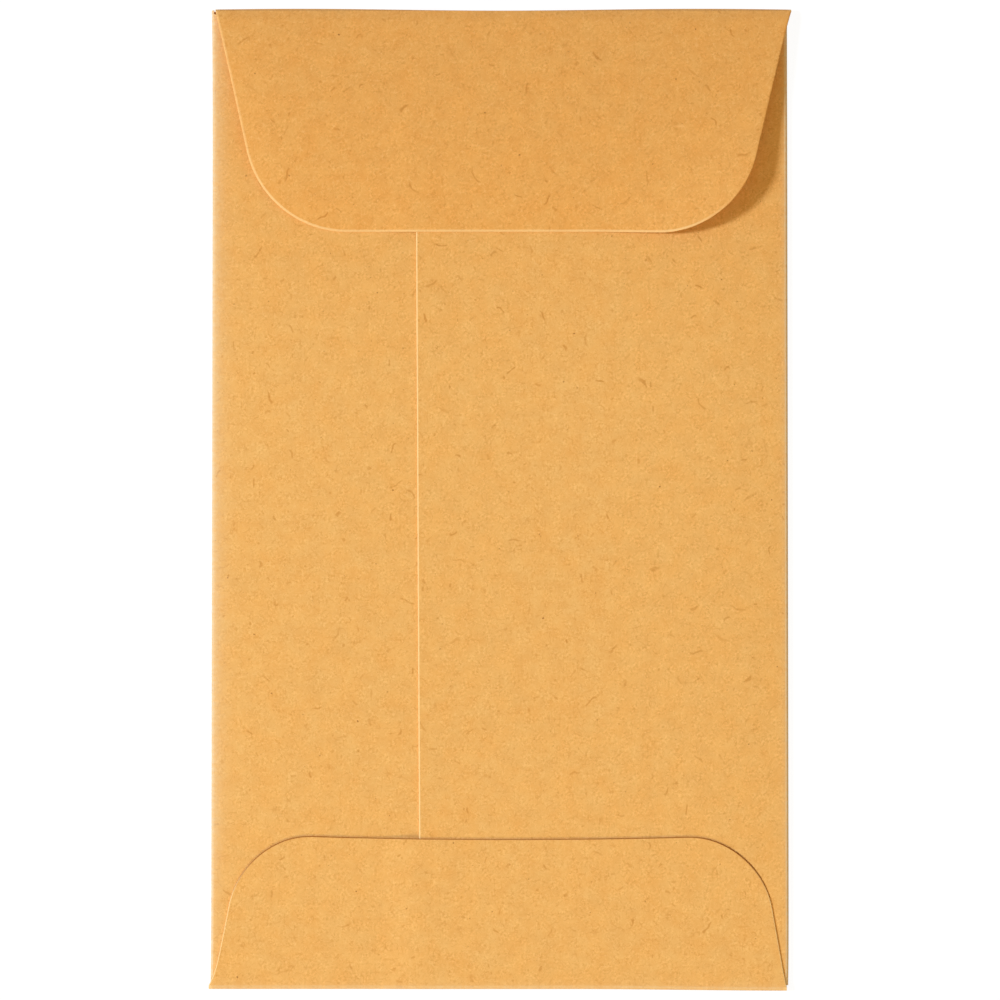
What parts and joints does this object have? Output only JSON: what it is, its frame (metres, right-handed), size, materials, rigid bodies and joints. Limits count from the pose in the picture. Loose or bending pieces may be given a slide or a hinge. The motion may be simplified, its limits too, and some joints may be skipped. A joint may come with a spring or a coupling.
{
  "type": "coin envelope",
  "caption": "Flat open-end kraft paper coin envelope with an off-centre back seam, a glued bottom flap and a rounded, gummed seal flap that hinges at its fold.",
  "frame": {"origin": "middle of the envelope's outline, on the outer face of the front panel, which lies on the surface", "axes": "+X across the envelope, to the right as seen from the back; +Y up the envelope, from the bottom fold to the flap fold; +Z out of the back, through the layers"},
  "size_m": [0.0636, 0.108, 0.0017],
  "materials": {
    "kraft_paper": "matte golden kraft with dark fibres",
    "paper_glue": "dried clear paper glue",
    "dry_gum": "thin glossy dry gum over kraft"
  },
  "bodies": {
    "envelope": {"front_panel": "kraft_paper", "left_side_fold": "kraft_paper", "right_side_fold": "kraft_paper", "left_back_panel": "kraft_paper", "right_back_panel": "kraft_paper", "seam_glue": "paper_glue", "bottom_fold": "kraft_paper", "bottom_flap": "kraft_paper", "bottom_glue": "paper_glue", "flap_fold": "kraft_paper"},
    "flap": {"seal_flap": "kraft_paper", "flap_gum": "dry_gum"}
  },
  "joints": [
    {"name": "flap_hinge", "type": "hinge", "parent": "envelope", "child": "flap", "pos_m": [0, 0.05378, 0.00047], "axis": [-1, 0, 0], "range_deg": [0, 172], "deforming": ["flap_fold"]}
  ]
}
